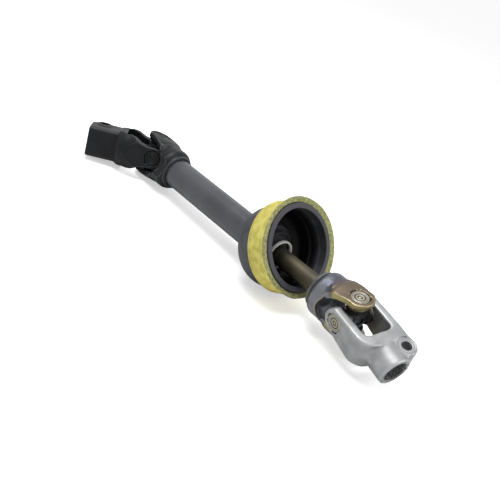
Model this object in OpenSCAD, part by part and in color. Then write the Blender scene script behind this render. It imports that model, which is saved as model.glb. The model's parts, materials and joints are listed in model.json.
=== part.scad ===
// Intermediate steering shaft: two cardan joints, a telescoping double-D bar in a tube,
// and a rubber dust boot with a foam ring that seals where the shaft passes the firewall.
// Every length is in millimetres.
// Shaft axes: +X along the shaft towards the steering gear, origin at the lower joint's centre.
// Part axes: +Z up as the shaft lies on a bench, origin on the lower splined bore's axis,
// level with its pinch bolt.

/* [Shaft] */
// Distance between the centres of the two joints
joint_span = 280; // [270:1:300]
// Outside diameter of the tube
tube_od = 28; // [27:0.5:30]
// Wall of the tube
tube_wall = 2; // [1.5:0.1:2.5]
// Distance from the lower joint's centre to the open end of the tube
tube_end = 89; // [80:1:95]
// Diameter of the sliding bar
bar_d = 18; // [17:0.5:19]
// Width of the bar across its two flats
bar_flats = 15; // [14:0.5:16]
// Length of the bar from the lower yoke's base
bar_length = 160; // [130:1:180]
// Length of the bar's round end
bar_round = 8; // [8:1:12]
// Roll of the bar's flats about the shaft
bar_roll = 50; // [0:5:90]
// Length of the plastic slide bush in the tube
bush_length = 60; // [40:1:80]
// How far the slide bush sits back from the end of the tube
bush_setback = 3; // [1:0.5:6]

/* [Joint crosses] */
// Distance across the faces of two opposite bearing cups
cup_span = 40; // [39:0.5:42]
// Outside diameter of a bearing cup
cup_d = 15; // [14:0.5:16]
// Length of a bearing cup
cup_length = 10.5; // [9.5:0.5:11]
// Thickness of the closed end of a cup
cup_base = 1.8; // [1.2:0.1:2.5]
// Diameter of the needles
needle_d = 2; // [1.5:0.1:2.2]
// Number of needles in a cup
needle_count = 16; // [14:1:18]
// Diameter of a cross pin
pin_d = 8.8; // [8:0.1:9.4]
// Diameter of the cross's middle
cross_d = 18; // [17:0.5:18.5]
// Thickness of the cross's middle
cross_thick = 12.5; // [11:0.5:14]
// Number of stakes that hold a cup in its ear
stake_count = 4; // [3:1:6]

/* [Yokes] */
// Radius of an ear's round end
ear_r = 10.4; // [9.5:0.1:11]
// How far the round end's centre lies past the cup's axis
ear_tip = 1.2; // [0.5:0.1:2]
// How far the ear's face stands past the cup's face
ear_proud = 0.7; // [0.3:0.1:1.2]
// Distance between the inner faces of two ears
ear_gap = 26; // [25:0.5:28]

/* [Tube yoke] */
// Distance from the upper joint's centre to the end of the collar
tube_yoke_length = 42; // [38:1:48]
// Radius of the collar that grips the tube
tube_collar_r = 16.6; // [16:0.1:18]
// Radius of the rolled rim at the collar's end
tube_rim_r = 17.6; // [17:0.1:19]
// Length of tube inside the collar
tube_insert = 11; // [8:0.5:12]
// Depth of the tube yoke's throat from the joint's centre
tube_throat = 30.5; // [25.5:0.5:31]
// Half the width of the tube yoke across its ears
tube_yoke_half = 17.8; // [17.5:0.1:21]
// Thickness of the tube yoke's drawn wall
tube_yoke_wall = 5; // [4:0.25:5.5]
// Roll of the tube yoke's ears about the shaft
tube_yoke_roll = -12; // [-20:1:10]

/* [Shaft yoke] */
// Distance from the lower joint's centre to the yoke's base
shaft_yoke_length = 40; // [37:1:44]
// Radius of the yoke's drawn cup at its base
shaft_collar_r = 16.8; // [16:0.1:18]
// Depth of the shaft yoke's throat from the joint's centre
shaft_throat = 25.4; // [25:0.1:27]
// Thickness of the yoke's drawn wall
shaft_yoke_wall = 5; // [4:0.25:6]
// Roll of the shaft yoke's ears about the shaft
shaft_yoke_roll = 12; // [-10:1:20]

/* [End yoke] */
// Distance from the lower joint's centre to the mouth of the splined bore
end_yoke_length = 55; // [52:1:60]
// Distance from the lower joint's centre to the shoulder of the fork
end_shoulder = 37; // [35:0.5:39]
// Depth of the end yoke's throat from the joint's centre
end_throat = 26.4; // [25:0.1:27]
// How far the end yoke's ears reach past their cups, besides their radius
end_ear_tip = 2.4; // [1:0.1:2.6]
// Radius of the clamp barrel
barrel_r = 13.8; // [13.5:0.1:14.5]
// Radius of the splined bore at the tips of its teeth
spline_r = 10.2; // [9.5:0.1:10.5]
// Depth of a spline tooth
spline_depth = 0.9; // [0.6:0.1:1.2]
// Number of spline teeth
spline_teeth = 40; // [24:1:44]
// Length of the splined bore
spline_length = 25; // [20:1:26]
// Width of the slit in the clamp
slit_w = 2.4; // [1.6:0.1:3]
// Distance from the bore's axis to the pinch bolt's axis
pinch_offset = 14.2; // [14:0.1:15]
// Distance from the bore's mouth to the pinch bolt's axis
pinch_back = 11.5; // [11:0.5:13]
// Diameter of the clear hole for a pinch bolt
bolt_hole_d = 8.4; // [8:0.1:9]
// Diameter of the tapped hole for a pinch bolt
tap_hole_d = 6.8; // [6.5:0.1:7.2]
// Height of the pinch boss from the bore's axis to the bolt head's seat
pinch_height = 13; // [12:0.5:14]

/* [Clamp yoke] */
// Distance from the upper joint's centre to the clamp's end
clamp_length = 65; // [62:1:70]
// Distance from the upper joint's centre to the jog where the clamp widens to its ears
clamp_jog = 36; // [34:0.5:40]
// Depth of the clamp yoke's throat from the joint's centre
clamp_throat = 28.6; // [25:0.1:29]
// Height of the clamp
clamp_h = 29.5; // [28:0.5:32]
// Distance from the shaft's axis to the clamp's closed side
clamp_web = 12.5; // [12:0.5:14]
// Distance from the shaft's axis to the clamp's open side
clamp_open = 16.5; // [15:0.5:19]
// Height of the slot that takes the column shaft
slot_h = 17.2; // [16:0.1:18]
// Distance from the shaft's axis to the clamp's bolt axis
clamp_bolt_offset = 9; // [8:0.5:11]
// Distance from the upper joint's centre to the clamp's bolt axis
clamp_bolt_x = 53; // [50:0.5:56]
// Diameter of the bolt seat raised on the clamp
seat_d = 15.4; // [14:0.1:16]
// Height of the raised bolt seat
seat_h = 1; // [0.5:0.1:1.5]

/* [Dust boot] */
// Distance from the lower joint's centre to the boot's hub
boot_hub = 104; // [102:1:112]
// Tilt of the boot's mouth up from the shaft
boot_tilt = 29; // [20:1:30]
// Turn of the boot's mouth sideways from the shaft
boot_yaw = -4.5; // [-8:0.5:5]
// Distance from the hub to the boot's lip
boot_depth = 36.5; // [33:0.5:38]
// Radius inside the boot's lip
lip_r = 31.4; // [31:0.1:33]
// Radius of the boot's rubber wall outside
boot_r = 36; // [35.5:0.5:38]
// Thickness of the boot's rubber wall
boot_wall = 3; // [2.5:0.1:3.4]
// Thickness of the foam ring
foam_t = 3.2; // [2.5:0.1:4]
// Length of the foam ring
foam_length = 22; // [18:0.5:23]
// How far the foam's front edge flares outwards
foam_flare = 4.4; // [1:0.1:5]
// Length of the hub's plastic bearing
bearing_length = 16; // [12:0.5:18]
// Wall of the hub's plastic bearing
bearing_wall = 2.2; // [1.8:0.1:2.6]
// Number of folds round the hub
fold_count = 2; // [1:1:2]

/* [How it lies] */
// Turn of the lower cross about the shaft yoke's ears
lower_turn = -9; // [-20:0.5:20]
// Droop of the end yoke about its own ears
lower_droop = 10.5; // [-10:0.5:20]
// Turn of the upper cross about the tube yoke's ears
upper_turn = 48; // [30:0.5:48]
// Lift of the clamp yoke about its own ears
upper_lift = 11; // [-10:0.5:15]
// Slope of the shaft towards its upper end as it lies on its boot and its upper joint
lie_slope = 2.3; // [0:0.1:4]
// Roll of the shaft about itself as it lies
lie_roll = 1.3; // [-3:0.1:3]

/* [Hidden] */
$fn = 72;
eps = 0.01;
run_gap = 0.04;
end_gap = 0.1;
free_gap = 0.35;

tube_r = tube_od / 2;
tube_bore_r = tube_r - tube_wall;
bar_r = bar_d / 2;
cup_r = cup_d / 2;
cup_face = cup_span / 2;
cup_bore_r = pin_d / 2 + needle_d + 2 * eps + run_gap;
pin_r = pin_d / 2;
pin_end = cup_face - cup_base - end_gap;
cup_mouth = cup_face - cup_length;
ear_face = cup_face + ear_proud;
ear_inner = ear_gap / 2;
drawn_r = ear_face + 0.3;
ear_corner_r = drawn_r + 3;
mouth_chamfer = 1;
cross_r = cross_d / 2;
root_r = 6.2;
seal_r = cup_r + 1.3;
seal_base = 7.4;
stake_r = 1.15;

spline_root_r = spline_r + spline_depth;
mouth_r = spline_root_r + mouth_chamfer;
pinch_r = 9;

clamp_side = clamp_h / 2;
slot_r = slot_h / 2;

foam_r = boot_r + foam_t;
foam_back = boot_depth - 1 - foam_length;
bearing_r = tube_r + run_gap + bearing_wall;
tube_start = joint_span - tube_yoke_length + tube_insert;
bar_start = shaft_yoke_length - 8;

// Places of the bodies, each a frame inside the one before

// From shaft axes to part axes: the shaft slopes down to its upper end and the middle of the
// lower clamp is the origin
module lie() {
    rotate([lie_roll, -lie_slope, 0])
    translate(-clamp_in_shaft_axes())
    children();
}

// The middle of the lower clamp in shaft axes, by the same turns as end_place()
function turn_x(v, a) = [v[0], v[1] * cos(a) - v[2] * sin(a), v[1] * sin(a) + v[2] * cos(a)];
function turn_y(v, a) = [v[0] * cos(a) + v[2] * sin(a), v[1], v[2] * cos(a) - v[0] * sin(a)];
function turn_z(v, a) = [v[0] * cos(a) - v[1] * sin(a), v[0] * sin(a) + v[1] * cos(a), v[2]];
function clamp_in_shaft_axes() =
    turn_x(turn_z(turn_y([end_yoke_length - pinch_back, 0, 0], lower_droop), lower_turn),
           shaft_yoke_roll);

module shaft_place() {
    lie() rotate([shaft_yoke_roll, 0, 0]) children();
}

module lower_cross_place() {
    shaft_place() rotate([0, 0, lower_turn]) children();
}

module end_place() {
    lower_cross_place() rotate([0, lower_droop, 0]) children();
}

module tube_place() {
    lie() translate([-joint_span, 0, 0]) rotate([tube_yoke_roll, 0, 0]) children();
}

module upper_cross_place() {
    tube_place() rotate([0, 0, upper_turn]) children();
}

// The clamp yoke's own +X points away from the joint and its +Y towards its closed side
module clamp_place() {
    upper_cross_place() rotate([0, -upper_lift, 0]) rotate([0, 0, 180]) children();
}

module boot_place() {
    lie() translate([-boot_hub, 0, 0]) children();
}

// The boot's own axis as +Z
module boot_axis() {
    rotate([0, 0, boot_yaw]) rotate([0, 90 - boot_tilt, 0]) children();
}

// General shapes

// Turns a shape made along Z so that it runs along X
module along_x() {
    rotate([0, 90, 0]) children();
}

// A rod of radius r from x = a to x = b
module rod_x(r, a, b) {
    translate([a, 0, 0]) along_x() cylinder(r = r, h = b - a);
}

// Two copies, at both ends of an axis along Z
module both_ends() {
    children();
    rotate([180, 0, 0]) children();
}

// A circle's quarter that rounds the corner where two lines meet at right angles
module corner_cut(r) {
    difference() {
        square(r + eps);
        translate([r, r]) circle(r);
    }
}

// The joint cross and its bearings

module cup() {
    translate([0, 0, cup_mouth])
    difference() {
        union() {
            cylinder(r = cup_r, h = cup_length - 0.6);
            translate([0, 0, cup_length - 0.6])
                cylinder(r1 = cup_r, r2 = cup_r - 0.5, h = 0.6);
        }
        translate([0, 0, -eps]) cylinder(r = cup_bore_r, h = cup_length - cup_base + eps);
        // ring pressed into the closed end
        translate([0, 0, cup_length - 0.4])
        difference() {
            cylinder(r = cup_r * 0.62, h = 1);
            translate([0, 0, -eps]) cylinder(r = cup_r * 0.45, h = 1.1);
        }
        // dimple in the middle of the closed end
        translate([0, 0, cup_length - 0.35]) cylinder(r = cup_r * 0.2, h = 1);
    }
}

module cross() {
    difference() {
        union() {
            intersection() {
                sphere(r = cross_r);
                along_x() cylinder(r = cross_r + 1, h = cross_thick, center = true);
            }
            for (a = [0, 90]) rotate([a, 0, 0]) both_ends() {
                cylinder(r = root_r, h = seal_base);
                cylinder(r = pin_r, h = pin_end);
            }
        }
        // shallow dish on each face of the middle
        for (a = [0, 180]) rotate([0, 0, a])
            rod_x(cross_r * 0.42, cross_thick / 2 - 1.2, cross_thick);
    }
}

module needles() {
    pitch = pin_r + needle_d / 2 + eps;
    long = cup_length - cup_base - 2;
    for (a = [0, 90]) rotate([a, 0, 0]) both_ends()
        for (k = [0 : needle_count - 1])
            rotate([0, 0, k * 360 / needle_count])
                translate([pitch, 0, cup_mouth + 1.2]) cylinder(r = needle_d / 2, h = long, $fn = 24);
}

// A seal sits on the cross and its skirt reaches over the cup's open end
module seal() {
    rotate_extrude()
    polygon([[pin_r, seal_base], [root_r + 0.3, seal_base], [seal_r, cup_mouth - 0.6],
             [seal_r, cup_mouth + 1.5], [cup_r + free_gap, cup_mouth + 1.5],
             [cup_r + free_gap, cup_mouth - free_gap], [pin_r, cup_mouth - free_gap]]);
}

module seals() {
    for (a = [0, 90]) rotate([a, 0, 0]) both_ends() seal();
}

// Room for the cups in a yoke's ears, with the stakes that hold them
module cup_holes() {
    both_ends() {
        cylinder(r = cup_r, h = ear_face + 1);
        translate([0, 0, ear_face - 0.5]) cylinder(r1 = cup_r, r2 = cup_r + 1.1, h = 1.1);
        for (k = [0 : stake_count - 1])
            rotate([0, 0, (k + 0.5) * 360 / stake_count])
                translate([cup_r + 0.6, 0, ear_face - 1]) cylinder(r = stake_r, h = 2, $fn = 24);
    }
}

// The tube's own group

module outer_tube() {
    color("#2b2d31")
    lie()
    difference() {
        rod_x(tube_r, -tube_start, -tube_end);
        rod_x(tube_bore_r, -tube_start - 1, -tube_end + 1);
        // chamfer inside the open end
        translate([-tube_end - 0.8, 0, 0]) along_x()
            cylinder(r1 = tube_bore_r, r2 = tube_bore_r + 0.9, h = 0.9);
    }
}

// Section of the bar, and of the bush's bore with a gap
module double_d(gap) {
    intersection() {
        circle(bar_r + gap);
        square([4 * bar_r, bar_flats + 2 * gap], center = true);
    }
}

module slide_bush() {
    color("#d9d3c0")
    lie()
    translate([-tube_end - bush_setback - bush_length, 0, 0]) along_x()
    rotate([0, 0, bar_roll])
    linear_extrude(bush_length)
    difference() {
        circle(tube_bore_r);
        double_d(run_gap);
    }
}

module sliding_bar() {
    color("#6b6350")
    lie()
    difference() {
        rod_x(bar_r, -bar_start - bar_length, -bar_start);
        // two flats, up to the round end that is welded into the yoke's base
        rotate([bar_roll, 0, 0])
            for (m = [0, 1]) mirror([0, m, 0])
                translate([-bar_start - bar_length - 1, bar_flats / 2, -bar_r - 1])
                    cube([bar_length - bar_round + 1, bar_r, 2 * bar_r + 2]);
    }
}

// A pressed yoke: a drawn cup of revolution with two ears. Ears along Z, cup towards -X.
// cup_len is the distance to the base, base_r its radius, wall the metal's thickness,
// depth how far the throat reaches and half the cup's half width across its ears.
module pressed_yoke(cup_len, base_r, wall, depth, half) {
    inner = ear_face - wall;
    difference() {
        union() {
            intersection() {
                along_x() rotate_extrude() polygon([
                    [0, -cup_len], [base_r - 0.6, -cup_len], [base_r, -cup_len + 0.6],
                    [base_r, -cup_len + 2.8], [base_r + 0.8, -cup_len + 3.4],
                    [base_r + 2.8, -cup_len + 4.8], [drawn_r, -cup_len + 7.5], [drawn_r, -23.5],
                    [ear_corner_r, -19], [ear_corner_r, ear_r + 3], [0, ear_r + 3]]);
                cube([4 * cup_len, 4 * drawn_r, 2 * ear_face], center = true);
                yoke_outline(cup_len, half);
            }
        }
        difference() {
            union() {
                // inside of the drawn cup, flat behind the ears
                intersection() {
                    along_x() rotate_extrude() polygon([
                        [0, -depth - 4], [base_r - wall - 1, -depth - 4],
                        [half - 3.6, -depth + 3], [half - 3.6, 60], [0, 60]]);
                    cube([4 * cup_len, 4 * drawn_r, 2 * inner], center = true);
                }
                throat(depth, inner - 0.4);
            }
            // rim of each ear round its cup
            both_ends() translate([0, 0, ear_inner - 0.5])
                cylinder(r = ear_r - 0.9, h = ear_face - ear_inner);
        }
    }
}

// Clear space between two ears, as seen along Y: a slot with a round end
module throat(depth, half) {
    rotate([90, 0, 0])
    linear_extrude(80, center = true) {
        translate([-depth + half, 0]) circle(half);
        translate([-depth + half, -half]) square([60, 2 * half]);
    }
}

// Outline of a yoke as seen along its ears' axis: ears that taper to round ends
module yoke_outline(cup_len, half) {
    root = ear_inner + 0.5;
    flank = ear_r - 0.05;
    linear_extrude(120, center = true)
    difference() {
        polygon([[ear_r + 3, -flank], [0, -flank], [-18, -root], [-20.5, -root - 1.5],
                 [-22, -root - 3.5], [-23, -half], [-cup_len - 1, -half],
                 [-cup_len - 1, half], [-23, half], [-22, root + 3.5],
                 [-20.5, root + 1.5], [-18, root], [0, flank], [ear_r + 3, flank]]);
        past_ear();
    }
}

// All that lies past the round end of an ear, on the side of +X
module past_ear() {
    difference() {
        translate([ear_tip + 0.5, -30]) square([60, 60]);
        translate([ear_tip, 0]) circle(ear_r);
    }
}

module tube_yoke() {
    color("#232529")
    tube_place()
    difference() {
        union() {
            mirror([1, 0, 0])
                pressed_yoke(tube_yoke_length, tube_collar_r, tube_yoke_wall, tube_throat, tube_yoke_half);
            // rolled rim at the end of the collar
            along_x() rotate_extrude()
                translate([tube_rim_r - 1.6, tube_yoke_length - 2]) circle(1.6, $fn = 32);
        }
        rod_x(tube_r, tube_yoke_length - tube_insert, tube_yoke_length + 5);
        cup_holes();
    }
}

module shaft_yoke() {
    color("#8d7a58")
    shaft_place()
    difference() {
        pressed_yoke(shaft_yoke_length, shaft_collar_r, shaft_yoke_wall, shaft_throat, drawn_r + 1);
        rod_x(bar_r, -shaft_yoke_length - 1, -bar_start);
        cup_holes();
    }
}

// The lower end yoke, a casting. Ears along Y, +X away from the joint.

module end_yoke() {
    color("#b9babc")
    end_place()
    difference() {
        union() {
            end_fork();
            rod_x(barrel_r, end_yoke_length - spline_length - 4, end_yoke_length);
            pinch_boss();
        }
        spline_bore();
        clamp_slit();
        pinch_hole();
        rotate([90, 0, 0]) cup_holes();
    }
}

module end_fork() {
    bend = 14;
    corner = 4.5;
    difference() {
        intersection() {
            // seen along Z: a U with one round shoulder and one that runs on to the boss
            linear_extrude(80, center = true) {
                translate([-ear_r - 4, -ear_face]) square([end_shoulder - bend + ear_r + 4, 2 * ear_face]);
                translate([end_shoulder - bend, -ear_face + bend]) circle(bend);
                translate([end_shoulder - bend - 1, -ear_face + bend])
                    square([bend + 1, 2 * ear_face - bend]);
            }
            // seen along Y: ears with round ends that widen into the shoulders
            rotate([90, 0, 0]) linear_extrude(80, center = true) {
                translate([-end_ear_tip, 0]) circle(ear_r);
                polygon([[-end_ear_tip, -ear_r + 0.1], [24, -barrel_r], [60, -barrel_r],
                         [60, barrel_r], [24, barrel_r], [-end_ear_tip, ear_r - 0.1]]);
            }
        }
        // throat with round corners, seen along Z
        linear_extrude(80, center = true) {
            translate([-30, -ear_inner]) square([end_throat + 30 - corner, 2 * ear_inner]);
            for (m = [0, 1]) mirror([0, m])
                translate([end_throat - corner - 0.3, ear_inner - corner]) circle(corner);
            translate([0, -ear_inner + corner]) square([end_throat, 2 * (ear_inner - corner)]);
        }
    }
}

module pinch_boss() {
    x = end_yoke_length - pinch_back;
    side = pinch_height - 1.2;
    intersection() {
        union() {
            translate([x, pinch_offset, -pinch_height]) cylinder(r = pinch_r, h = 2 * pinch_height);
            translate([x - pinch_r, 0, -side]) cube([2 * pinch_r, pinch_offset, 2 * side]);
            // the web that runs from the boss up to the fork
            linear_extrude(2 * side, center = true)
            polygon([[x, 0], [x, pinch_offset + pinch_r], [26, ear_face], [26, 0]]);
        }
        translate([0, 0, -30]) cube([end_yoke_length, 60, 60]);
    }
}

module spline_bore() {
    start = end_yoke_length - spline_length;
    translate([start, 0, 0]) along_x() linear_extrude(spline_length + 1) {
        circle(spline_r);
        for (k = [0 : spline_teeth - 1]) rotate(k * 360 / spline_teeth)
            spline_groove();
    }
    // a clear bore runs from the teeth out into the fork's throat
    rod_x(spline_root_r + 0.2, 10, start + eps);
    // chamfer at the mouth
    translate([end_yoke_length - mouth_chamfer, 0, 0]) along_x()
        cylinder(r1 = spline_root_r, r2 = mouth_r, h = mouth_chamfer + eps);
    translate([end_yoke_length, 0, 0]) along_x() cylinder(r = mouth_r, h = 1);
}

// One groove between two teeth, pointing along +X of its own plane
module spline_groove() {
    half = 0.23 * 2 * PI * spline_r / spline_teeth;
    polygon([[spline_r - 0.5, -half], [spline_root_r, -half * 0.6],
             [spline_root_r, half * 0.6], [spline_r - 0.5, half]]);
}

module clamp_slit() {
    start = end_yoke_length - spline_length - 1;
    translate([start, 0, -slit_w / 2]) cube([spline_length + 5, 60, slit_w]);
    translate([start, 0, 0]) rotate([-90, 0, 0]) cylinder(r = slit_w / 2 + 0.8, h = 60);
}

module pinch_hole() {
    translate([end_yoke_length - pinch_back, pinch_offset, 0]) {
        cylinder(r = bolt_hole_d / 2, h = 40);
        translate([0, 0, -40]) cylinder(r = tap_hole_d / 2, h = 41);
        // machined seat for the bolt's head
        translate([0, 0, pinch_height - 0.8]) cylinder(r = pinch_r - 1.3, h = 5);
    }
}

// The upper clamp yoke, bent from thick plate. Ears along Y, +X away from the joint.

module clamp_yoke() {
    color("#1e2023")
    clamp_place()
    difference() {
        union() {
            clamp_block();
            clamp_fork();
            translate([clamp_bolt_x, -clamp_bolt_offset, clamp_side - eps])
                cylinder(r = seat_d / 2, h = seat_h);
        }
        column_slot();
        translate([clamp_bolt_x, -clamp_bolt_offset, 0]) {
            cylinder(r = bolt_hole_d / 2, h = 40);
            translate([0, 0, -40]) cylinder(r = tap_hole_d / 2, h = 41);
        }
        rotate([90, 0, 0]) cup_holes();
    }
}

// Outline of the clamp across its length: a closed side with round corners, and an open side
module clamp_block() {
    bend = 3;
    translate([clamp_jog - 6, 0, 0]) rotate([90, 0, 90])
    linear_extrude(clamp_length - clamp_jog + 6)
    difference() {
        translate([-clamp_open, -clamp_side]) square([clamp_open + clamp_web, clamp_h]);
        for (m = [0, 1]) mirror([0, m])
            translate([clamp_web, clamp_side]) rotate(180) corner_cut(bend);
    }
}

module column_slot() {
    translate([clamp_jog + 3, 0, 0]) rotate([90, 0, 90])
    linear_extrude(60) {
        circle(slot_r);
        translate([-60, -slot_r]) square([60, slot_h]);
    }
}

module clamp_fork() {
    wide = clamp_side + 2.3;
    difference() {
        intersection() {
            // drawn body about the yoke's axis
            along_x() rotate_extrude() polygon([
                [0, -ear_r - 4], [ear_corner_r, -ear_r - 4], [ear_corner_r, 18], [drawn_r + 1, 24],
                [drawn_r, 29], [clamp_side + 4.5, clamp_jog - 2], [clamp_side + 3, clamp_jog],
                [0, clamp_jog]]);
            cube([4 * clamp_length, 2 * ear_face, 100], center = true);
            // seen along Y: ears that widen in a slope into the body
            rotate([90, 0, 0]) linear_extrude(80, center = true)
            difference() {
                polygon([[ear_r + 3, -ear_r + 0.05], [-6, -ear_r + 0.05], [-12, -ear_r - 1.2],
                         [-19, -wide + 1.2], [-24, -wide], [-60, -wide], [-60, wide], [-24, wide],
                         [-19, wide - 1.2], [-12, ear_r + 1.2], [-6, ear_r - 0.05], [ear_r + 3, ear_r - 0.05]]
                        * [[-1, 0], [0, 1]]);
                mirror([1, 0]) past_ear();
            }
        }
        // throat between the ears
        linear_extrude(80, center = true) {
            translate([clamp_throat - 8, 0]) intersection() {
                circle(ear_inner + 2);
                translate([0, -ear_inner]) square([8, 2 * ear_inner]);
            }
            translate([-30, -ear_inner]) square([clamp_throat - 8 + 30 + eps, 2 * ear_inner]);
        }
    }
}

// The dust boot, its foam ring and its bearing

module dust_boot() {
    color("#3a3b3c")
    boot_place()
    difference() {
        union() {
            boot_axis() boot_cup();
            hub_sleeve();
        }
        rod_x(bearing_r, -40, 40);
        boot_axis() boot_hollow();
        hub_folds();
    }
}

// Outside of the rubber cup, from its back to its lip
module boot_cup() {
    rotate_extrude()
    polygon([[0, -9.5], [20, -9.5], [27, -8], [31.5, -4.5], [33.8, 0], [35, 7], [boot_r, foam_back - 0.5],
             [boot_r, boot_depth], [0, boot_depth]]);
}

// Inside of the rubber cup, with steps in its wall
module boot_hollow() {
    inner = boot_r - boot_wall;
    rotate_extrude()
    polygon([[0, 3.5], [26, 3.5], [30, 6.5], [inner - 2, 8], [inner - 2, 17], [inner - 0.8, 18],
             [inner - 0.8, 26], [inner, 27], [inner, boot_depth - 3], [lip_r, boot_depth - 1.5],
             [lip_r, boot_depth + 1], [0, boot_depth + 1]]);
}

// Rubber round the bearing, along the shaft
module hub_sleeve() {
    rod_x(bearing_r + 4, -bearing_length / 2, bearing_length / 2 - 2);
}

// Folds in the rubber round the hub
module hub_folds() {
    for (k = [0 : fold_count - 1])
        along_x() rotate_extrude()
            translate([bearing_r + 2.6 + 3.2 * k, bearing_length / 2 - 3 + 1.2 * k])
                circle(1.1, $fn = 24);
}

module foam_ring() {
    color("#d6c94f")
    boot_place() boot_axis()
    rotate_extrude()
    polygon([[boot_r, foam_back], [foam_r - 0.6, foam_back], [foam_r, foam_back + 0.8],
             [foam_r + 0.3, foam_back + foam_length - 6], [foam_r + foam_flare, foam_back + foam_length - 1],
             [foam_r + foam_flare - 0.8, foam_back + foam_length], [boot_r, foam_back + foam_length]]);
}

module hub_bearing() {
    color("#c9c4b4")
    boot_place()
    difference() {
        rod_x(bearing_r, -bearing_length / 2, bearing_length / 2);
        rod_x(tube_r + run_gap, -bearing_length, bearing_length);
    }
}

// Every node

clamp_yoke();
color("#25272b") clamp_place() rotate([-90, 0, 0]) cup();  // clamp_cup_near
color("#25272b") clamp_place() rotate([90, 0, 0]) cup();  // clamp_cup_far
color("#202226") upper_cross_place() cross();  // upper_cross
color("#c8c8c8") upper_cross_place() needles();  // upper_needles
color("#121212") upper_cross_place() seals();  // upper_seals
tube_yoke();
color("#25272b") tube_place() cup();  // tube_cup_top
color("#25272b") tube_place() rotate([180, 0, 0]) cup();  // tube_cup_bottom
outer_tube();
slide_bush();
dust_boot();
foam_ring();
hub_bearing();
sliding_bar();
shaft_yoke();
color("#c9c7c0") shaft_place() cup();  // shaft_cup_top
color("#c9c7c0") shaft_place() rotate([180, 0, 0]) cup();  // shaft_cup_bottom
color("#202226") lower_cross_place() cross();  // lower_cross
color("#c8c8c8") lower_cross_place() needles();  // lower_needles
color("#121212") lower_cross_place() seals();  // lower_seals
end_yoke();
color("#c9c7c0") end_place() rotate([90, 0, 0]) cup();  // end_cup_near
color("#c9c7c0") end_place() rotate([-90, 0, 0]) cup();  // end_cup_far
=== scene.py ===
# %% [markdown]
# # An intermediate steering shaft
# This shaft carries the turn of a steering wheel down to the steering gear. It bends at two
# cardan joints, slides in its middle so that its length can change, and passes the firewall in a
# rubber boot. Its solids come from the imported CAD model. This script gives them their looks,
# and lays new surfaces over the few whose real shape is softer than a plain solid.

# %% Tools
import json

import bpy
import numpy as np
from mathutils import Matrix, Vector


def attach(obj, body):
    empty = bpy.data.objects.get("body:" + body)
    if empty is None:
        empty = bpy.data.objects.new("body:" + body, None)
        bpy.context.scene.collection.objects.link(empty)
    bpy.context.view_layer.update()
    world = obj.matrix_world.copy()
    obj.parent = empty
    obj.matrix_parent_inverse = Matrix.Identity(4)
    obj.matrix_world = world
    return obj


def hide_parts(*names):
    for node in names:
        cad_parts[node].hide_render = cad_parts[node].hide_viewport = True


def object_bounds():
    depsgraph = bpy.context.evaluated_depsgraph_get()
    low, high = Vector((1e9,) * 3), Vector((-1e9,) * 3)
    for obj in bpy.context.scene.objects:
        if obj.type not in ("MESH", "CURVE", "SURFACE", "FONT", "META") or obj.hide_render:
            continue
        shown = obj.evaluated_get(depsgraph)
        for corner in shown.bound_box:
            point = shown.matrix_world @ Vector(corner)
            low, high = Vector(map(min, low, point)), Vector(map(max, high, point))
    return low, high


MM = 0.001

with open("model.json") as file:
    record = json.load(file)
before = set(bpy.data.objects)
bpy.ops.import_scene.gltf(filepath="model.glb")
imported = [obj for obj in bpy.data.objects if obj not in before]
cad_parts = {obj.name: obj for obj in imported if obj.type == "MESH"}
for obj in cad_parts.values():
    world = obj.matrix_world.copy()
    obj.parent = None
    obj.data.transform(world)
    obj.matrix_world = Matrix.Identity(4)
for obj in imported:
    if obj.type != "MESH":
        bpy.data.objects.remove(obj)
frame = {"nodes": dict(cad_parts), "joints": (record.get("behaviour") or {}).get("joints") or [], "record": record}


def box_as_lists():
    """The lowest and highest corner of the whole object, as plain lists of numbers."""
    return [[float(c) for c in corner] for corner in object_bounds()]


cad_box = box_as_lists()
print("nodes:", len(frame["nodes"]), "box:", cad_box)

# %% [markdown]
# Each group of pieces has axes of its own, which the joints and the mounts of the CAD model
# give. A place is kept as an origin and three directions, so that a shape can be thought of
# straight, and then turned to where it lies.

# %% Places of the groups
joints = {joint["name"]: joint for joint in frame["joints"]}
mounts = {mount["name"]: mount for mount in frame["record"]["mounts"]}


def unit(v):
    """A vector over its own length."""
    v = np.array(v, float)
    return v / np.linalg.norm(v)


def place(origin, x=None, y=None, z=None):
    """A 4 by 4 matrix from two unit directions: the third is their cross product."""
    if z is None:
        x, y = unit(x), unit(y)
        z = np.cross(x, y)
    elif y is None:
        x, z = unit(x), unit(z)
        y = np.cross(z, x)
    m = np.eye(4)
    m[:3, 0], m[:3, 1], m[:3, 2], m[:3, 3] = x, y, z, origin
    return m


shaft_dir = unit(joints["bar_slide"]["axis"])
hub = np.array(joints["boot_turn"]["pos_m"])
# The soft mouth has sagged a little sideways from the axis that the mount gives
mouth_dir = unit(unit(mounts["firewall_seal"]["axis"]) + np.array([0.023, 0.053, 0.050]))
end_place = place(joints["end_yoke_turn"]["pos_m"], x=mounts["lower_clamp"]["axis"], y=joints["end_yoke_turn"]["axis"])
clamp_place = place(joints["clamp_yoke_turn"]["pos_m"], x=mounts["column_slot"]["axis"], y=joints["clamp_yoke_turn"]["axis"])
shaft_yoke_place = place(joints["lower_cross_turn"]["pos_m"], x=shaft_dir, z=joints["lower_cross_turn"]["axis"])
tube_yoke_place = place(joints["upper_cross_turn"]["pos_m"], x=shaft_dir, z=joints["upper_cross_turn"]["axis"])


def local(points, where):
    """Points seen from a place: the inverse of its turn and shift."""
    return (points - where[:3, 3]) @ where[:3, :3]


# %% [markdown]
# A material is a small tree of nodes. One helper adds a node, sets its properties and makes its
# links, and another turns a hex colour, as a paint chart gives it, into the linear light that
# the renderer counts in.


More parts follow.
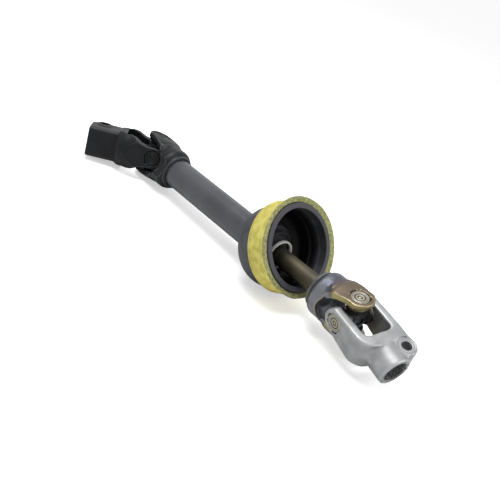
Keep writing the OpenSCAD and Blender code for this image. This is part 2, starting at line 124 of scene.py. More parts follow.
# %% Helpers for materials
def linear(code, alpha=1.0):
    """An sRGB hex colour as linear light: each channel c is c / 12.92 when it is dark, and
    ((c + 0.055) / 1.055) to the power 2.4 otherwise."""
    c = np.array([int(code[i : i + 2], 16) / 255 for i in (1, 3, 5)])
    c = np.where(c <= 0.04045, c / 12.92, ((c + 0.055) / 1.055) ** 2.4)
    return (*c, alpha)


def add(tree, kind, inputs=None, **settings):
    """Adds a node, with its properties, and with its inputs set to values or linked to sockets."""
    node = tree.nodes.new(kind)
    for key, value in settings.items():
        setattr(node, key, value)
    for key, value in (inputs or {}).items():
        if isinstance(value, bpy.types.NodeSocket):
            tree.links.new(value, node.inputs[key])
        else:
            node.inputs[key].default_value = value
    return node


def new_material(name):
    """An empty material with a Principled shader on its output."""
    made = bpy.data.materials.new(name)
    made.use_nodes = True
    tree = made.node_tree
    tree.nodes.clear()
    shader = add(tree, "ShaderNodeBsdfPrincipled")
    add(tree, "ShaderNodeOutputMaterial", {"Surface": shader.outputs[0]})
    return made, tree, shader


def noise(tree, size_mm, detail=3.0, stretch=(1, 1, 1)):
    """Noise on the object's own coordinates, whose blobs are about size_mm across."""
    where = add(tree, "ShaderNodeTexCoord").outputs["Object"]
    scale = [s / (size_mm * MM) for s in stretch]
    moved = add(tree, "ShaderNodeMapping", {"Vector": where, "Scale": scale})
    return add(tree, "ShaderNodeTexNoise", {"Vector": moved.outputs[0], "Scale": 1.0, "Detail": detail}).outputs["Fac"]


def between(tree, value, low, high, a=0.0, b=1.0):
    """A value stretched from low..high to a..b, with smooth ends."""
    return add(tree, "ShaderNodeMapRange", {"Value": value, "From Min": low, "From Max": high, "To Min": a, "To Max": b},
               interpolation_type="SMOOTHSTEP").outputs[0]


def blend_colours(tree, factor, first, second):
    """The first colour where factor is 0 and the second where it is 1."""
    return add(tree, "ShaderNodeMix", {"Factor": factor, 6: first, 7: second}, data_type="RGBA").outputs[2]


def grain(tree, shader, size_mm, depth_mm, detail=3.0):
    """Relief of the surface: noise blobs of size_mm that stand depth_mm proud."""
    bump = add(tree, "ShaderNodeBump", {"Height": noise(tree, size_mm, detail), "Distance": depth_mm * MM, "Strength": 1.0})
    tree.links.new(bump.outputs[0], shader.inputs["Normal"])


def finish(name, light, dark, patch_mm, roughness, metallic=0.0, grain_mm=0.8, depth_mm=0.02, spread=0.12):
    """A surface of two close colours in soft patches, with a fine grain."""
    made, tree, shader = new_material(name)
    patches = between(tree, noise(tree, patch_mm, 4.0), 0.5 - spread, 0.5 + spread)
    tree.links.new(blend_colours(tree, patches, linear(dark), linear(light)), shader.inputs["Base Color"])
    shader.inputs["Metallic"].default_value = metallic
    shader.inputs["Roughness"].default_value = roughness
    grain(tree, shader, grain_mm, depth_mm)
    return made, tree, shader


# Among the numbers read this way are masks of painted light: highlights on edges, and shade in the cups' rings and
# inside the boot.
def point_value(node, name):
    """The number that a piece's mesh keeps under this name at each of its points."""
    return add(node, "ShaderNodeAttribute", attribute_name=name).outputs["Fac"]


def overlay(tree, shader, factor, code):
    """Lays a colour over the one that a shader has, where factor is above 0."""
    below = shader.inputs["Base Color"].links[0].from_socket
    tree.links.new(blend_colours(tree, factor, below, linear(code)), shader.inputs["Base Color"])


# %% [markdown]
# ## Finishes
# The upper half is dipped in black electrocoat, an even paint that dries to a satin skin and
# thins at the edges. Its rounded edges are painted lighter, as a highlight and where the coat thins.
# It is a dielectric, so its gloss comes from a clear surface over a dark body. The tube has the
# same coat, painted a little greyer because it is smooth and catches more light.

# %% Black electrocoat
coat_black, tree, shader = finish("electrocoat_on_steel", "#121416", "#0b0c0e", 14, 0.42, grain_mm=0.6, depth_mm=0.01)
shader.inputs["Specular IOR Level"].default_value = 0.2
# Painted highlight along the rounded edges, lighter also where the coat thins
overlay(tree, shader, between(tree, point_value(tree, "edge"), 0.15, 0.8, 0, 0.6), "#55565b")
coat_cup, tree, shader = finish("electrocoat_on_cup", "#1b1c1f", "#121315", 8, 0.34, grain_mm=0.4, depth_mm=0.004)
shader.inputs["Specular IOR Level"].default_value = 0.2
# Painted shade: the sunk rings of the cup's face are near black
overlay(tree, shader, between(tree, point_value(tree, "groove"), 0.2, 0.8), "#030303")


def along_shaft(tree, start_mm, end_mm):
    """0 below a distance from the boot's hub along the shaft and 1 past another."""
    where = add(tree, "ShaderNodeTexCoord").outputs["Object"]
    dot = add(tree, "ShaderNodeVectorMath", {0: where, 1: shaft_dir}, operation="DOT_PRODUCT").outputs["Value"]
    at = float(hub @ shaft_dir)
    return between(tree, dot, at + start_mm * MM, at + end_mm * MM)


# %% Tube: the coat ends just before its open end, which is bare and painted bright as a highlight
coat_tube, tree, shader = finish("electrocoat_on_tube", "#3f4146", "#35383c", 26, 0.34, grain_mm=0.35, depth_mm=0.005)
bare_band_lit = along_shaft(tree, 12.6, 13.0)
over = add(tree, "ShaderNodeVectorMath", {0: add(tree, "ShaderNodeTexCoord").outputs["Object"], 1: (0.0, 0.0, 1.0)}, operation="DOT_PRODUCT")
# Painted shade: below the hub's height the bare band keeps the coat's dark colour
upper = between(tree, over.outputs["Value"], float(hub[2]) - 0.006, float(hub[2]) + 0.002)
bare_band_lit = add(tree, "ShaderNodeMath", {0: bare_band_lit, 1: upper}, operation="MULTIPLY").outputs[0]
# Painted highlight: the bare band is nearly white and only a little metallic
overlay(tree, shader, bare_band_lit, "#f0f0ec")
tree.links.new(add(tree, "ShaderNodeMath", {0: bare_band_lit, 1: 0.3}, operation="MULTIPLY").outputs[0], shader.inputs["Metallic"])

# %% [markdown]
# The lower half is bare. The bar is cold-drawn steel under a film of old oil, which is olive
# where it is thick. The drawn yoke was heated when it was pressed on and welded, and shows the
# tints of thin oxide: straw and bronze on its ears, blue-grey at its collar.

# %% Bare steel of the bar
bar_steel, tree, shader = finish("oiled_drawn_steel", "#4f4a3a", "#433f31", 14, 0.48, metallic=0.5, grain_mm=0.6, depth_mm=0.004)
# Painted shade: the bar is darker from the boot's hub out to 16 mm, fading by 36 mm, where it lies inside the boot's
# cup
overlay(tree, shader, between(tree, along_shaft(tree, 16, 36), 0, 1, 1, 0), "#242219")

# %% Heat-tinted steel of the shaft's yoke
tinted, tree, shader = new_material("heat_tinted_steel")
drift = between(tree, noise(tree, 6, 4.0), 0.3, 0.7, -0.14, 0.14)
tint = add(tree, "ShaderNodeMath", {0: point_value(tree, "tint"), 1: drift}, operation="ADD").outputs[0]
collar = blend_colours(tree, between(tree, tint, 0.1, 0.5), linear("#6f7177"), linear("#4d4f5b"))
face = blend_colours(tree, between(tree, tint, 0.45, 0.8), collar, linear("#665b4d"))
flank = blend_colours(tree, between(tree, point_value(tree, "flank"), 0.3, 0.8), face, linear("#8f855c"))
tree.links.new(flank, shader.inputs["Base Color"])
# Painted highlight along the rounded edges
overlay(tree, shader, between(tree, point_value(tree, "edge"), 0.3, 1.0, 0, 0.5), "#a3946c")
overlay(tree, shader, between(tree, point_value(tree, "stake"), 0.25, 0.7), "#141310")
shader.inputs["Metallic"].default_value = 0.8
shader.inputs["Roughness"].default_value = 0.38
grain(tree, shader, 0.7, 0.008)

# %% [markdown]
# The end yoke is a forging of light alloy, shot-blasted to an even satin grey. The bearing cups
# are ground steel. Seals, needles and crosses are small and lie in shade.

# %% Forged alloy, cups, crosses and seals
forged, tree, shader = finish("blasted_forged_alloy", "#9c9d9e", "#898a8b", 16, 0.48, metallic=0.75, grain_mm=0.5, depth_mm=0.012)
# Painted highlight: the rounded edges are lighter
overlay(tree, shader, between(tree, point_value(tree, "edge"), 0.4, 1.0, 0, 0.4), "#b4b4b5")
overlay(tree, shader, between(tree, point_value(tree, "stake"), 0.25, 0.7), "#1b1a17")
broached, _, _ = finish("broached_alloy", "#a6a7a8", "#868788", 6, 0.42, metallic=0.5, grain_mm=0.4, depth_mm=0.006)
ground, tree, shader = finish("ground_cup_steel", "#a6a192", "#989385", 8, 0.36, metallic=0.7, grain_mm=0.35, depth_mm=0.002)
# Painted shade: the sunk rings of the cup's face are darker
overlay(tree, shader, between(tree, point_value(tree, "groove"), 0.2, 0.8), "#4c493f")
cross_black, _, _ = finish("oiled_black_forging", "#45464a", "#26272a", 5, 0.36, metallic=0.5, grain_mm=0.6, depth_mm=0.02)
seal_rubber, _, _ = finish("nitrile_seal", "#202020", "#111111", 4, 0.45, grain_mm=0.5, depth_mm=0.01)
needle_steel, _, _ = finish("bearing_steel", "#d0d0d0", "#b8b8b8", 4, 0.25, metallic=1.0)
nylon, _, _ = finish("black_nylon_guide", "#2b2b2c", "#1c1c1d", 12, 0.5)

# %% [markdown]
# The boot is moulded rubber, grey-black and a little dusty, so it is rough all over. The ring
# of open foam round its mouth is yellow along its side. Its front edge, which squeezed against
# the firewall, has gone grey-green and ragged.

# %% Rubber and foam
rubber, tree, shader = finish("moulded_boot_rubber", "#47484b", "#393a3d", 12, 0.55, grain_mm=0.7, depth_mm=0.02)
shader.inputs["Specular IOR Level"].default_value = 0.22
# Painted shade: the boot's inner face is near black
overlay(tree, shader, point_value(tree, "inside"), "#020203")
overlay(tree, shader, point_value(tree, "lip"), "#434348")

foam, tree, shader = new_material("open_foam")
soil = add(tree, "ShaderNodeMath", {0: point_value(tree, "soiled"), 1: between(tree, noise(tree, 3.0, 6.0), 0.3, 0.7, -0.3, 0.3)}, operation="ADD")
yellow = blend_colours(tree, between(tree, noise(tree, 6, 4.0), 0.35, 0.65), linear("#b6ac50"), linear("#cec56a"))
edge = blend_colours(tree, between(tree, noise(tree, 2.2, 5.0), 0.35, 0.65), linear("#74764c"), linear("#a3a26d"))
body_colour = blend_colours(tree, between(tree, soil.outputs[0], 0.35, 0.65), yellow, edge)
seam = blend_colours(tree, between(tree, point_value(tree, "seam"), 0.4, 0.9), body_colour, linear("#6f672c"))
tree.links.new(seam, shader.inputs["Base Color"])
shader.inputs["Roughness"].default_value = 0.9
pores = between(tree, noise(tree, 1.1, 4.0), 0.66, 0.74)
overlay(tree, shader, pores, "#5d5a2c")
grain(tree, shader, 0.9, 0.12, 5.0)

# %% Finishes on the CAD nodes
by_node = {
    "clamp_yoke": coat_black, "tube_yoke": coat_black, "outer_tube": coat_tube,
    "clamp_cup_near": coat_cup, "clamp_cup_far": coat_cup, "tube_cup_top": coat_cup, "tube_cup_bottom": coat_cup,
    "upper_cross": cross_black, "lower_cross": cross_black, "upper_seals": seal_rubber, "lower_seals": seal_rubber,
    "upper_needles": needle_steel, "lower_needles": needle_steel, "slide_bush": nylon, "hub_bearing": nylon,
    "dust_boot": rubber, "foam_ring": foam, "sliding_bar": bar_steel, "shaft_yoke": tinted,
    "shaft_cup_top": ground, "shaft_cup_bottom": ground, "end_cup_near": ground, "end_cup_far": ground,
    "end_yoke": forged,
}
for node, made in by_node.items():
    mesh = frame["nodes"][node].data
    mesh.materials.clear()
    mesh.materials.append(made)
print("finishes on", len(by_node), "nodes")

# %% [markdown]
# ## Helpers for shapes
# A surface of revolution is a grid: one parameter runs along the profile and the other round
# the ring. All its points are worked out at once, and the faces join each point to the next
# along both parameters.


# %% Grid to mesh
def object_of(name, points, faces, made, smooth=True):
    """An object at the origin from arrays of points and faces."""
    mesh = bpy.data.meshes.new(name)
    mesh.from_pydata(points.tolist(), [], faces.tolist())
    mesh.materials.append(made)
    mesh.polygons.foreach_set("use_smooth", np.full(len(mesh.polygons), smooth))
    mesh.update()
    obj = bpy.data.objects.new(name, mesh)
    bpy.context.scene.collection.objects.link(obj)
    return obj


def ring_faces(rows, columns, closed=True):
    """Faces of a grid of rows by columns that is closed round its columns, and, where the
    profile is closed too, joins its last row to its first."""
    i = np.arange(rows if closed else rows - 1)[:, None]
    j = np.arange(columns)[None, :]
    i2, j2 = (i + 1) % rows, (j + 1) % columns
    corners = [i * columns + j, i * columns + j2, i2 * columns + j2, i2 * columns + j]
    return np.stack([np.broadcast_to(c, (len(i), columns)) for c in corners], -1).reshape(-1, 4)


def keep(obj, name, values):
    """Keeps a number for each point of an object's mesh under a name."""
    obj.data.attributes.new(name, "FLOAT", "POINT").data.foreach_set("value", np.asarray(values, np.float32))


# %% [markdown]
# ## Forged and drawn yokes
# A forging has no sharp edges: the die is rounded so that the metal flows. The CAD solid has
# the right outline but crisp edges. Its copy is cut anew into small even squares, and every
# point then moves towards the mean of its neighbours again and again, which rounds edges and
# fills inner corners. Machined places, such as cup holes and the bore, hold still.


# %% Rounding a solid
def points_of(mesh):
    """All the points of a mesh as one array."""
    co = np.empty(len(mesh.vertices) * 3, np.float32)
    mesh.vertices.foreach_get("co", co)
    return co.reshape(-1, 3).astype(float)


def softened(name, node, where, machined, made, press, voxel_mm=0.5, rounds=16):
    """A rounded copy of a CAD node. Each round moves point p to p + m * (mean of its
    neighbours - p), where m is 0 in the machined places and 1 elsewhere. The press then
    gives each point one last move of its own."""
    source = frame["nodes"][node].data.copy()
    rough = bpy.data.objects.new(name + "_rough", source)
    bpy.context.scene.collection.objects.link(rough)
    weld = rough.modifiers.new("weld", "WELD")
    weld.merge_threshold = 0.001 * MM
    cut = rough.modifiers.new("cut", "REMESH")
    cut.mode = "VOXEL"
    cut.voxel_size = voxel_mm * MM
    shape = rough.evaluated_get(bpy.context.evaluated_depsgraph_get())
    mesh = bpy.data.meshes.new_from_object(shape)
    bpy.data.objects.remove(rough)
    p = points_of(mesh)
    edges = np.empty(len(mesh.edges) * 2, np.int32)
    mesh.edges.foreach_get("vertices", edges)
    a, b = edges.reshape(-1, 2).T
    count = np.bincount(a, minlength=len(p)) + np.bincount(b, minlength=len(p))
    before = p.copy()
    move = 1.0 - machined(local(p, where) / MM)
    for _ in range(rounds):
        total = np.stack([np.bincount(a, p[b, k], len(p)) + np.bincount(b, p[a, k], len(p)) for k in range(3)], 1)
        p += move[:, None] * (total / count[:, None] - p)
    out = np.empty(len(p) * 3, np.float32)
    mesh.vertex_normals.foreach_get("vector", out)
    # How far rounding moved each point inwards: high on rounded edges. Kept as edge, it places the painted highlights
    # along them.
    edge = np.sum((before - p) * out.reshape(-1, 3), 1) / (0.3 * MM)
    p += MM * press(local(p, where) / MM) @ where[:3, :3].T
    mesh.vertices.foreach_set("co", p.astype(np.float32).ravel())
    mesh.polygons.foreach_set("use_smooth", np.ones(len(mesh.polygons), bool))
    mesh.materials.clear()
    mesh.materials.append(made)
    mesh.update()
    mesh.name = name
    obj = bpy.data.objects.new(name, mesh)
    bpy.context.scene.collection.objects.link(obj)
    keep(obj, "edge", np.clip(edge, 0, 1))
    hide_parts(node)
    print(name, len(mesh.polygons), "faces")
    return obj, local(p, where) / MM


def soft_step(value, edge, width):
    """1 below edge and 0 above it, with a straight run of this width between."""
    return np.clip((edge + width - value) / width, 0, 1)


# %% [markdown]
# Each cup is held in its ear by stakes: a punch drives the ear's metal over the cup's edge and
# leaves a dent, which is dark with old grease.


# %% Stakes beside the cups
CUP_R = 7.5


def stakes(u, v, marks):
    """1 in the middle of a stake's dent and 0 outside it. u and v are a point's place across the
    cup's axis, and each mark gives an angle and half a width, in degrees."""
    r, angle = np.hypot(u, v), np.degrees(np.arctan2(v, u))
    along = np.zeros(len(r))
    for at, half in marks:
        off = (angle - at + 180) % 360 - 180
        along = np.maximum(along, np.clip((half - np.abs(off)) / 8 + 0.5, 0, 1))
    return np.exp(-(((r - 8.15) / 0.5) ** 2)) * along


# %% Blunt ears
def blunt_ear(u, v, centre, half, round_at, round_r, old, new, inner=8.7, flank=10.35):
    """Reshapes an ear that points along +u. Its old edge is a line, whose half width grows by
    old per millimetre back from the tip, and a circle of radius flank about u = centre. The new
    edge grows by new per millimetre, and its tip is cut by a circle of radius round_r about
    u = round_at. A point moves outwards by (new edge - old edge) * its share of the way from the
    radius inner to the old edge."""
    tip = u > centre
    back = np.maximum(centre - u, 0)
    r = np.where(tip, np.hypot(u - centre, v), np.abs(v))
    safe = np.maximum(r, 1e-6)
    cu, cv = np.where(tip, (u - centre) / safe, 0), np.where(tip, v / safe, np.sign(v))
    reach = cu * (centre - round_at)
    to_round = -reach + np.sqrt(np.maximum(reach**2 - (centre - round_at) ** 2 + round_r**2, 0.01))
    new_edge = np.where(tip, np.minimum(half / np.maximum(np.abs(cv), 1e-3), to_round), half + new * back)
    old_edge = flank + old * back
    shift = (new_edge - old_edge) * np.clip((r - inner) / (old_edge - inner), 0, 1)
    shift *= new_edge > old_edge - 3
    shift = np.where(back > 17, shift * np.clip((20 - back) / 3, 0, 1), shift)
    return u + shift * cu, v + shift * cv


# %% The end yoke: its bore is left plain here, since its teeth are a piece of their own
ROOT_R, TIP_R, TEETH, TEETH_START, TEETH_END = 11.3, 9.9, 38, 30.0, 54.8
END_MARKS = [(168, 20), (212, 12), (-62, 20)]


def end_machined(q):
    """Cup holes, the splined bore, and the pinch hole with its seat and the slit."""
    x, y, z = q.T
    cups = soft_step(np.hypot(x, z), CUP_R + 0.3, 0.6)
    bore = soft_step(np.hypot(y, z), ROOT_R + 1.2, 0.6) * (x > 27)
    pinch = soft_step(np.hypot(x - 43.5, y - 14.2), 8.0, 0.5)
    slit = soft_step(np.abs(z), 1.6, 0.6) * (y > 6) * (x > 27)
    return np.max([cups, bore, pinch, slit], 0)


def end_press(q):
    """Blunter ears, dents of the stakes on them, and a plain bore just past the roots of the
    teeth."""
    x, y, z = q.T
    move = np.zeros_like(q)
    ear = np.abs(y) > 12
    new_x, new_z = blunt_ear(-x, z, 2.4, 11.2, -1.4, 13.2, 0.133, 0.105)
    move[:, 0], move[:, 2] = ear * (-new_x - x), ear * (new_z - z)
    move[:, 1] = -np.sign(y) * 0.7 * stakes(x, z, END_MARKS) * (np.abs(y) > 18)
    r = np.hypot(y, z)
    out = np.where((x > TEETH_START - 3) & (r > 8.5) & (r < ROOT_R + 0.2), ROOT_R + 0.2 - r, 0)
    move[:, 1] += out * y / np.maximum(r, 1)
    move[:, 2] += out * z / np.maximum(r, 1)
    return move


end_forging, q = softened("end_forging", "end_yoke", end_place, end_machined, forged, end_press, 0.45, 26)
x, y, z = q.T
keep(end_forging, "stake", stakes(x, z, END_MARKS) * (np.abs(y) > 18))
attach(end_forging, "end_yoke")

# %% [markdown]
# The teeth are cut by a broach. Their section is one line round the bore, whose radius drops
# from root to tip and rises again forty times, and stops at both sides of the slit.

# %% Splines
start, stop = np.radians(7.5), np.radians(352.5)
angle = np.linspace(start, stop, TEETH * 10)
phase = (angle * TEETH / (2 * np.pi)) % 1.0
tooth = np.clip((0.5 - 2 * np.abs(phase - 0.5)) / 0.22 + 0.5, 0, 1)
sections = []
for x_mm, tip in ((TEETH_START, 0.5), (TEETH_START + 0.4, 0.0), (TEETH_END - 0.6, 0.0), (TEETH_END, 0.5)):
    inner = ROOT_R - tooth * (ROOT_R - TIP_R - tip)
    r = np.concatenate([inner, np.full(len(angle), ROOT_R + 0.35)])
    a = np.concatenate([angle, angle[::-1]])
    sections.append(np.stack([np.full(len(r), x_mm), r * np.cos(a), r * np.sin(a)], 1))
n, columns = len(angle), 2 * len(angle)
k = np.arange(n - 1)
cap = np.stack([k, k + 1, columns - 2 - k, columns - 1 - k], 1)
faces = np.concatenate([ring_faces(4, columns, closed=False), cap[:, ::-1], cap + 3 * columns])
points = np.concatenate(sections) * MM @ end_place[:3, :3].T + end_place[:3, 3]
splines = object_of("spline_teeth", points, faces, broached, smooth=False)
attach(splines, "end_yoke")
print("splines:", len(faces), "faces")

# %% The drawn yoke of the shaft, with its heat tints
SHAFT_MARKS = [(180, 26), (38, 22)]
PLAIN_MARKS = [(120, 24), (-60, 24)]


def drawn_machined(q):
    """Cup holes of a drawn yoke."""
    x, y, z = q.T
    return soft_step(np.hypot(x, y), CUP_R + 0.3, 0.6)


def drawn_press(marks, tip_sign, half, slimmer):
    """Blunt ears that curve where they grow from the cup, the dents of their stakes and a slimmer
    cup, for a drawn yoke whose ears point along its X times tip_sign."""

    def press(q):
        """The cup's radius r becomes r * (1 - slimmer) past 20 mm from the joint's centre, and
        each point of a dent moves towards that centre."""
        x, y, z = q.T
        ear = np.abs(z) > 13
        new_x, new_y = blunt_ear(tip_sign * x, y, 1.2, half, -1.6, half + 1.4, 0.165, (14.2 - half) / 19.2)
        move = np.zeros_like(q)
        move[:, 0], move[:, 1] = ear * (tip_sign * new_x - x), ear * (new_y - y)
        root = np.clip((-tip_sign * x - 3) / 14, 0, 1) * np.clip((23 + tip_sign * x) / 3, 0, 1)
        move[:, 2] -= ear * np.sign(z) * root * np.minimum(y**2 / 75, 2.6)
        less = slimmer * np.clip((-tip_sign * x - 17) / 6, 0, 1) * np.clip((np.hypot(y, z) - 15) / 3, 0, 1)
        move[:, 1] -= less * y
        move[:, 2] -= less * z
        move[:, 2] -= np.sign(z) * 0.6 * stakes(x, y, marks) * (np.abs(z) > 18)
        return move

    return press


shaft_pressing, q = softened("shaft_pressing", "shaft_yoke", shaft_yoke_place, drawn_machined, tinted, drawn_press(SHAFT_MARKS, 1, 12.0, 0.06), 0.5, 10)
x, y, z = q.T
keep(shaft_pressing, "tint", np.clip((x + 38) / 26, 0, 1) * np.clip((np.abs(z) - 12) / 6, 0, 1))
keep(shaft_pressing, "flank", np.clip((20.0 - np.abs(z)) / 1.2, 0, 1) * np.clip((x + 20) / 6, 0, 1))
keep(shaft_pressing, "stake", stakes(x, y, SHAFT_MARKS) * (np.abs(z) > 18))
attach(shaft_pressing, "bar")

# %% The black yokes of the upper joint
tube_pressing, q = softened("tube_pressing", "tube_yoke", tube_yoke_place, drawn_machined, coat_black, drawn_press(PLAIN_MARKS, -1, 10.8, 0.05), 0.5, 7)
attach(tube_pressing, "tube")


def clamp_machined(q):
    """Cup holes of the clamp yoke and the bolt hole through both of its walls."""
    x, y, z = q.T
    cups = soft_step(np.hypot(x, z), CUP_R + 0.3, 0.6)
    return np.maximum(cups, soft_step(np.hypot(x - 53, y + 9), 5.2, 0.5))


def clamp_press(q):
    """Dents of the stakes on the ears, a low ring round each cup, and corners of the open side
    that are round about the bolt's axis."""
    x, y, z = q.T
    move = np.zeros_like(q)
    ear = np.abs(y) > 18
    ring = 0.35 * np.exp(-(((np.hypot(x, z) - 11.8) / 0.5) ** 2)) * (x > -2)
    move[:, 1] = np.sign(y) * ear * (ring - 0.6 * stakes(x, z, PLAIN_MARKS))
    u, v = x - 53, -9 - y
    r, limit = np.hypot(u, v), 8.6 + 3.4 * np.clip(1 - np.degrees(np.arctan2(v, u)) / 24, 0, 1)
    pull = np.where((u > -4) & (v > 0) & (r > limit), (limit - r) * np.clip((u + 4) / 4, 0, 1), 0)
    move[:, 0] += pull * u / np.maximum(r, 1)
    move[:, 1] -= pull * v / np.maximum(r, 1)
    return move


clamp_pressing, q = softened("clamp_pressing", "clamp_yoke", clamp_place, clamp_machined, coat_black, clamp_press, 0.5, 7)
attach(clamp_pressing, "clamp_yoke")

# %% [markdown]
# ## Bearing cups
# A cup is drawn from sheet and turned: its closed end shows fine rings. One profile is turned
# about the axis of each ear. The axis runs from the joint's centre through the node's middle.


# %% Turned cups
def turned(name, centre, axis, table, made, columns=96):
    """A closed profile of rows (height, radius), in millimetres, turned about an axis."""
    height, radius = np.array(table, float).T[:, :, None, None]
    axis = unit(axis)
    side = unit(np.cross(axis, [0.3, 0.9, 0.1]))
    angle = np.linspace(0, 2 * np.pi, columns, endpoint=False)[None, :, None]
    ring = np.cos(angle) * side + np.sin(angle) * np.cross(axis, side)
    points = centre + MM * (height * axis + radius * ring)
    obj = object_of(name, points.reshape(-1, 3), ring_faces(len(table), columns), made)
    return obj


cup_rows = [
    (9.5, 6.5), (9.5, 7.46), (9.54, 7.5), (19.35, 7.5), (19.42, 7.48), (19.95, 6.98), (20.0, 6.9), (20.0, 6.35), (19.98, 6.3),
    (19.82, 6.15), (19.82, 5.95), (19.98, 5.8), (20.0, 5.75), (20.0, 4.95), (19.96, 4.88), (19.62, 4.68), (19.6, 4.6), (19.6, 3.75),
    (19.62, 3.68), (19.96, 3.48), (20.0, 3.4), (20.0, 2.5), (19.96, 2.42), (19.6, 2.1), (19.6, 1.3),
    (19.92, 1.0), (19.95, 0.01), (18.2, 0.01), (18.2, 6.4), (18.1, 6.5),
]
high, wide = np.array(cup_rows).T
# The rows of the sunk rings, which the cup finishes paint dark as shade
sunk = (high < 19.9) & (high > 19.5) & (wide < 6.4)
for yoke_joint, body, made, slot, nodes in (
    ("end_yoke_turn", "end_yoke", ground, "cup_bright", ("end_cup_near", "end_cup_far")),
    ("lower_cross_turn", "bar", ground, "cup_bright", ("shaft_cup_top", "shaft_cup_bottom")),
    ("clamp_yoke_turn", "clamp_yoke", coat_cup, "cup_dark", ("clamp_cup_near", "clamp_cup_far")),
    ("upper_cross_turn", "tube", coat_cup, "cup_dark", ("tube_cup_top", "tube_cup_bottom")),
):
    centre = np.array(joints[yoke_joint]["pos_m"])
    for node in nodes:
        axis = points_of(frame["nodes"][node].data).mean(0) - centre
        line = unit(joints[yoke_joint]["axis"])
        cup = turned("turned_" + node, centre, line * np.sign(axis @ line), cup_rows, made)
        keep(cup, "groove", np.repeat(sunk, 96))
        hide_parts(node)
        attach(cup, body)
print("cups: 8")

# %% [markdown]
# ## The boot
# A dust boot is moulded in one: a sleeve that grips its bearing, folds that let it tilt, and a
# stiff cup. Every ring of it is a circle. Near the hub the circles stand square to the shaft,
# and in the cup square to the mouth, so one number turns each ring from one to the other.


# %% Rings of the boot
def lofted(name, table, made, columns=160, rounding=4):
    """A closed shell from rows (distance, radius, turn), in millimetres. A ring's axis is the
    shaft's where turn is 0, the mouth's where it is 1, and their weighted mean between. The
    rows are first joined by a smooth curve: each corner is cut at a quarter of its two sides,
    and that is done again, as often as rounding says."""
    rows = np.array(table, float)
    for _ in range(rounding):
        after = np.roll(rows, -1, 0)
        rows = np.stack([rows * 0.75 + after * 0.25, rows * 0.25 + after * 0.75], 1).reshape(-1, 3)
    distance, radius, turn = rows.T[:, :, None]
    axis = (1 - turn) * shaft_dir + turn * mouth_dir
    axis /= np.linalg.norm(axis, axis=1, keepdims=True)
    side = np.cross(axis, [0.0, 1.0, 0.0])
    side /= np.linalg.norm(side, axis=1, keepdims=True)
    other = np.cross(axis, side)
    angle = np.linspace(0, 2 * np.pi, columns, endpoint=False)[None, :, None]
    ring = np.cos(angle) * side[:, None] + np.sin(angle) * other[:, None]
    points = hub + MM * (distance[:, :, None] * axis[:, None] + radius[:, :, None] * ring)
    obj = object_of(name, points.reshape(-1, 3), ring_faces(len(rows), columns), made)
    return obj, rows, angle.ravel()


boot_rows = [
    (-8, 16.3, 0), (-8, 20, 0), (-6, 20.3, 0), (-5, 20.2, 0.3), (-9.2, 22, 1), (-9.2, 24, 1), (-7.6, 27.6, 1),
    (-4.2, 31.4, 1), (0, 33.6, 1), (4.24, 34.77, 1), (9.54, 35.58, 1), (13.14, 36.13, 1), (13.57, 36.45, 1),
    (25.44, 36.93, 1), (37.5, 36.98, 1), (38, 36.67, 1), (38, 35.02, 1), (38, 32.86, 1), (37.7, 32.45, 1),
    (36.7, 32.45, 1), (35.7, 33.99, 1), (28.9, 33.99, 1), (28.1, 33.06, 1), (19.72, 32.82, 1), (18.66, 31.55, 1),
    (9.54, 31.13, 1), (7, 30.04, 1), (4.24, 27.13, 1), (3.82, 25.61, 1), (6.2, 24.4, 0.9), (6.4, 23.4, 0.85),
    (3.6, 22.6, 0.75), (3.8, 21.8, 0.65), (6.8, 21.2, 0.5), (7.2, 20.4, 0.4), (4.8, 19.6, 0.25), (5, 19, 0.15),
    (8, 18.6, 0), (8.2, 17.4, 0), (7.6, 16.3, 0),
]
boot, rows, angle = lofted("rubber_boot", boot_rows, rubber, rounding=2)
at = np.arange(len(rows)) / len(rows)
# How much of the boot's inner face is painted dark as shade: all of it in the cup, less at the folds by the hub
inner_shade = np.clip((at - 0.53) / 0.03, 0, 1) * (1 - 0.5 * np.clip((0.8 - rows[:, 2]) / 0.3, 0, 1))
keep(boot, "inside", np.repeat(inner_shade, len(angle)))
keep(boot, "lip", np.repeat((rows[:, 0] > 37.4) & (rows[:, 1] < 36.9), len(angle)))
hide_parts("dust_boot")
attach(boot, "boot")
print("boot:", len(boot.data.polygons), "faces")

# %% [markdown]
# The foam ring is a strip of foam glued round the cup. Its rim flares, and is worn ragged: the
# radius and the front edge of each ring wander a little, by sums of waves round the mouth.


# %% Foam ring
def wander(angle, seed, waves=(5, 9, 14, 23, 37)):
    """A sum of sine waves round the ring, of falling height, whose phases come from a seed."""
    phase = np.random.default_rng(seed).uniform(0, 2 * np.pi, len(waves))
    return sum(np.sin(n * angle + f) / (k + 1) for k, (n, f) in enumerate(zip(waves, phase))) / 2.3


foam_rows = [
    (15.4, 36.4, 1), (15.4, 38.3, 1), (16, 38.9, 1), (19.5, 39.1, 1), (25.5, 39.3, 1), (30.5, 39.4, 1),
    (33, 39.5, 1), (35.5, 39.7, 1), (36.8, 39.8, 1), (37, 39.3, 1), (36.9, 38.6, 1), (36.7, 37.9, 1),
    (36.5, 37.08, 1),
]
ring_foam, rows, angle = lofted("foam_seal", foam_rows, foam, columns=240, rounding=3)
shape = (len(rows), len(angle))
height, radius = np.broadcast_to(rows[:, :1], shape), np.broadcast_to(rows[:, 1:2], shape)
front = np.clip((height - 29.0) / 7.0, 0, 1) ** 1.6
outside = np.clip((radius - 37.2) / 2.0, 0, 1)
p = points_of(ring_foam.data).reshape(*shape, 3)
away = p - (hub + MM * height[..., None] * mouth_dir)
away /= np.linalg.norm(away, axis=2, keepdims=True)
far_side = 0.5 + 0.5 * away @ unit((0.60, 0.70, 0.35))
flare = front * (0.8 + 4.2 * far_side**1.3) * outside
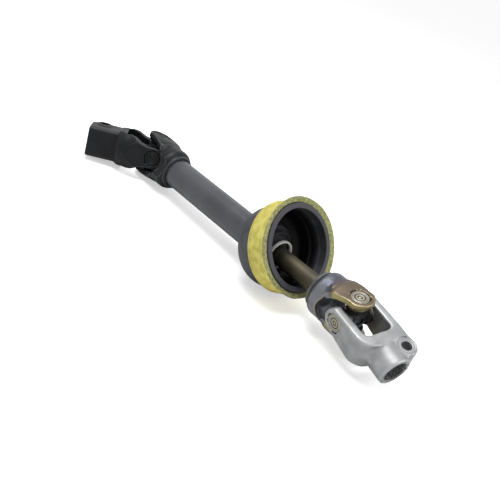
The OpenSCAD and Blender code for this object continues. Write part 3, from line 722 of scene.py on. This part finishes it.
p += MM * (flare + outside * (0.1 + 0.3 * front) * wander(angle, 3))[..., None] * away
p += MM * (outside * front * 0.3 * wander(angle, 8, (7, 13, 19, 29, 41)))[..., None] * mouth_dir
ring_foam.data.vertices.foreach_set("co", p.astype(np.float32).ravel())
front = np.clip((height - 33.5) / 2.4, 0, 1)
keep(ring_foam, "soiled", (front * np.ones(shape)).ravel())
keep(ring_foam, "seam", (np.exp(-(((height - 18.0) / 0.35) ** 2)) * outside).ravel())
ring_foam.data.update()
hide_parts("foam_ring")
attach(ring_foam, "boot")

# %% [markdown]
# ## Floor, light and camera
# A large pale floor keeps the shaft's shadow. One broad lamp above gives the soft light of a
# light tent, and the white surroundings fill the rest.

# %% Floor
floor_z = cad_box[0][2]
bpy.ops.mesh.primitive_plane_add(size=8.0, location=(0, 0, floor_z))
floor = bpy.context.object
floor.name = "floor"
made, tree, shader = new_material("pale_floor")
shader.inputs["Base Color"].default_value = linear("#f2f2f2")
shader.inputs["Roughness"].default_value = 0.9
seen = add(tree, "ShaderNodeLightPath").outputs["Is Camera Ray"]
glow = add(tree, "ShaderNodeMath", {0: seen, 1: 0.5}, operation="MULTIPLY")
tree.links.new(glow.outputs[0], shader.inputs["Emission Strength"])
shader.inputs["Emission Color"].default_value = (1, 1, 1, 1)
floor.data.materials.append(made)

# %% Surroundings
world = bpy.data.worlds.new("light_tent")
bpy.context.scene.world = world
world.use_nodes = True
tree = world.node_tree
tree.nodes.clear()
path = add(tree, "ShaderNodeLightPath")
shown = add(tree, "ShaderNodeMath", {0: path.outputs["Is Camera Ray"], 1: path.outputs["Is Glossy Ray"]}, operation="MAXIMUM")
shown = add(tree, "ShaderNodeMath", {0: shown.outputs[0], 1: path.outputs["Is Transmission Ray"]}, operation="MAXIMUM")
level = add(tree, "ShaderNodeMapRange", {"Value": shown.outputs[0], "To Min": 0.45, "To Max": 1.0})
surround = add(tree, "ShaderNodeBackground", {"Color": (1, 1, 1, 1), "Strength": level.outputs[0]})
add(tree, "ShaderNodeOutputWorld", {"Surface": surround.outputs[0]})


# %% Lamps
def lamp(name, at, towards, size, power):
    """A square lamp that points from one place to another."""
    light = bpy.data.lights.new(name, "AREA")
    light.size, light.energy = size, power
    obj = bpy.data.objects.new(name, light)
    away = unit(np.array(at) - np.array(towards))
    side = unit(np.cross([0, 0, 1], away))
    m = np.eye(4)
    m[:3, 0], m[:3, 1], m[:3, 2], m[:3, 3] = side, np.cross(away, side), away, at
    obj.matrix_world = Matrix(m.tolist())
    bpy.context.scene.collection.objects.link(obj)


middle = [(a + b) / 2 for a, b in zip(*cad_box)]
lamp("sky_panel", (-0.35, -0.15, 0.95), middle, 0.6, 8.5)
lamp("side_panel", (0.7, 0.35, 0.6), middle, 0.5, 4.0)

# %% [markdown]
# The camera stands where the photograph was taken from: a little above the near end, about half
# a metre away. Its place was worked out from the ellipses of the cups and the tube.

# %% Camera
FOCAL_MM, SENSOR_MM = 53.08, 36.0
camera_data = bpy.data.cameras.new("camera")
camera_data.lens, camera_data.sensor_width = FOCAL_MM, SENSOR_MM
camera = bpy.data.objects.new("camera", camera_data)
right, back = unit((0.61905, 0.71206, 0.33127)), unit((0.55099, -0.69432, 0.46295))
camera.matrix_world = Matrix(place((0.19364, -0.44548, 0.28841), x=right, z=back).tolist())
bpy.context.scene.collection.objects.link(camera)
bpy.context.scene.camera = camera
bpy.context.scene.view_settings.view_transform = "Standard"
